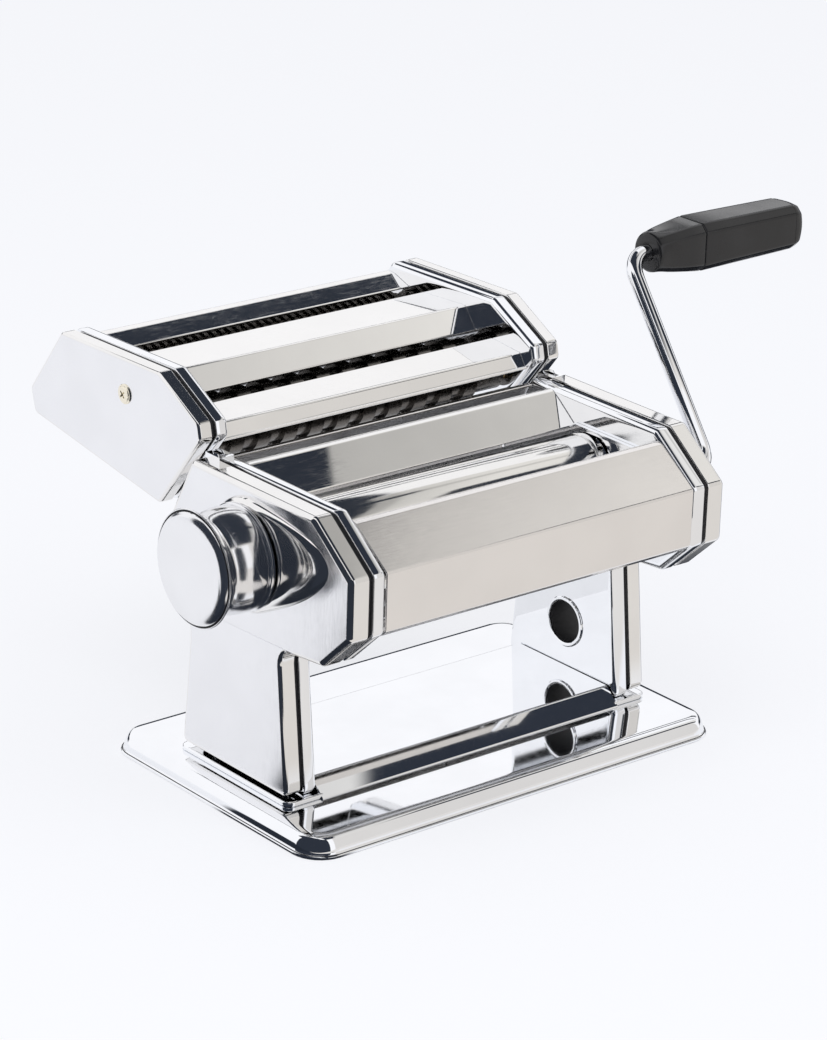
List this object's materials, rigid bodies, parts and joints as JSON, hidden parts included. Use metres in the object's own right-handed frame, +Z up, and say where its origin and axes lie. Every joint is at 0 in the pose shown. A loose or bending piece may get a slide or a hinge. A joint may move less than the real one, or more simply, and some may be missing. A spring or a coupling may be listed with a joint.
{
  "type": "manual pasta roller machine",
  "caption": "Hand-cranked pasta roller with two smooth rollers in chromed side frames, a thickness knob and a lift-off cutter unit behind.",
  "frame": {"origin": "middle of the base plate, on the surface that the machine stands on", "axes": "+X along the rollers towards the crank, +Y towards the cutter unit at the back, +Z up"},
  "size_m": [0.3265, 0.2107, 0.1891],
  "materials": {
    "polished_chrome": "mirror-polished chromed steel",
    "satin_steel": "satin stainless sheet, lightly polished",
    "panel_steel": "bright-rolled stainless sheet, warm grey",
    "turned_steel": "turned steel with fine rings round the axis",
    "cutter_steel": "ground tool steel",
    "comb_steel": "spring steel strip",
    "zinc_steel": "bright zinc-plated steel",
    "gear_steel": "cut steel, oiled",
    "bearing_bronze": "plain bearing bronze",
    "brass_screw": "brass-plated steel",
    "black_grip": "glossy black moulded plastic"
  },
  "bodies": {
    "base": {"base_plate": "polished_chrome", "cross_plate": "polished_chrome", "base_screws": "zinc_steel", "base_nuts": "zinc_steel", "left_side_frame": "polished_chrome", "right_side_frame": "polished_chrome", "left_side_cover": "satin_steel", "right_side_cover": "satin_steel", "front_panel": "panel_steel", "rear_panel": "panel_steel", "hopper_rear_plate": "panel_steel", "end_guides": "polished_chrome", "clamp_socket": "polished_chrome", "front_scraper": "comb_steel", "rear_scraper": "comb_steel", "tie_rods": "zinc_steel", "tie_rod_screws": "zinc_steel", "hook_loops": "polished_chrome", "left_roller_bush": "bearing_bronze", "right_roller_bush": "bearing_bronze"},
    "front_roller": {"front_roller": "turned_steel", "front_roller_gear": "gear_steel"},
    "roller_carriage": {"left_bearing_block": "bearing_bronze", "right_bearing_block": "bearing_bronze"},
    "rear_roller": {"rear_roller": "turned_steel", "rear_roller_gear": "gear_steel"},
    "adjuster": {"adjuster_spindle": "zinc_steel", "spindle_screw": "zinc_steel", "knob_spring": "zinc_steel"},
    "knob": {"knob_body": "turned_steel", "knob_cap": "polished_chrome", "index_pin": "zinc_steel"},
    "crank": {"crank_arm": "polished_chrome", "grip_push_nut": "zinc_steel"},
    "grip": {"crank_grip": "black_grip", "grip_end_cap": "black_grip"},
    "cutter_unit": {"cutter_left_frame": "polished_chrome", "cutter_right_frame": "polished_chrome", "cutter_left_cover": "satin_steel", "cutter_right_cover": "satin_steel", "cutter_rear_plate": "panel_steel", "cutter_centre_plate": "panel_steel", "cutter_front_plate": "panel_steel", "cutter_tie_rods": "zinc_steel", "cutter_rod_screws": "zinc_steel", "cutter_posts": "zinc_steel", "cutter_cover_screws": "brass_screw", "cutter_bushes": "bearing_bronze", "cutter_combs": "comb_steel"},
    "fine_front": {"fine_front_cutter": "cutter_steel", "fine_front_gear": "gear_steel"},
    "fine_rear": {"fine_rear_cutter": "cutter_steel", "fine_rear_gear": "gear_steel"},
    "wide_front": {"wide_front_cutter": "cutter_steel", "wide_front_gear": "gear_steel"},
    "wide_rear": {"wide_rear_cutter": "cutter_steel", "wide_rear_gear": "gear_steel"}
  },
  "joints": [
    {"name": "crank_turn", "type": "hinge", "parent": "base", "child": "front_roller", "pos_m": [0, -0.0395, 0.104], "axis": [1, 0, 0], "continuous": true},
    {"name": "crank_pull_out", "type": "slide", "parent": "front_roller", "child": "crank", "axis": [1, 0, 0], "range_m": [0, 0.03]},
    {"name": "grip_turn", "type": "hinge", "parent": "crank", "child": "grip", "pos_m": [0.115, 0.01428, 0.17802], "axis": [1, 0, 0], "continuous": true},
    {"name": "roller_gap", "type": "slide", "parent": "base", "child": "roller_carriage", "axis": [0, 1, 0], "range_m": [0, 0.0024]},
    {"name": "rear_roller_turn", "type": "hinge", "parent": "roller_carriage", "child": "rear_roller", "pos_m": [0, -0.0105, 0.104], "axis": [1, 0, 0], "continuous": true},
    {"name": "thickness_turn", "type": "hinge", "parent": "base", "child": "adjuster", "pos_m": [0, -0.0105, 0.104], "axis": [-1, 0, 0], "range_deg": [0, 120]},
    {"name": "knob_pull", "type": "slide", "parent": "adjuster", "child": "knob", "axis": [-1, 0, 0], "range_m": [0, 0.004], "stiffness_N_per_m": 600, "springref_m": -0.006},
    {"name": "cutter_lift_off", "type": "slide", "parent": "base", "child": "cutter_unit", "axis": [0, 0, 1], "range_m": [0, 0.03]},
    {"name": "fine_cutter_turn", "type": "hinge", "parent": "cutter_unit", "child": "fine_rear", "pos_m": [0, 0.1095, 0.137], "axis": [1, 0, 0], "continuous": true},
    {"name": "fine_front_turn", "type": "hinge", "parent": "cutter_unit", "child": "fine_front", "pos_m": [0, 0.0915, 0.137], "axis": [1, 0, 0], "continuous": true},
    {"name": "wide_cutter_turn", "type": "hinge", "parent": "cutter_unit", "child": "wide_front", "pos_m": [0, 0.048, 0.129], "axis": [1, 0, 0], "continuous": true},
    {"name": "wide_rear_turn", "type": "hinge", "parent": "cutter_unit", "child": "wide_rear", "pos_m": [0, 0.066, 0.129], "axis": [1, 0, 0], "continuous": true}
  ],
  "couplings": [
    {"joint": "rear_roller_turn", "follows": "crank_turn", "ratio": -1},
    {"joint": "thickness_turn", "follows": "roller_gap", "rad_per_m": 872.66},
    {"joint": "fine_front_turn", "follows": "fine_cutter_turn", "ratio": -1},
    {"joint": "wide_rear_turn", "follows": "wide_cutter_turn", "ratio": -1}
  ]
}
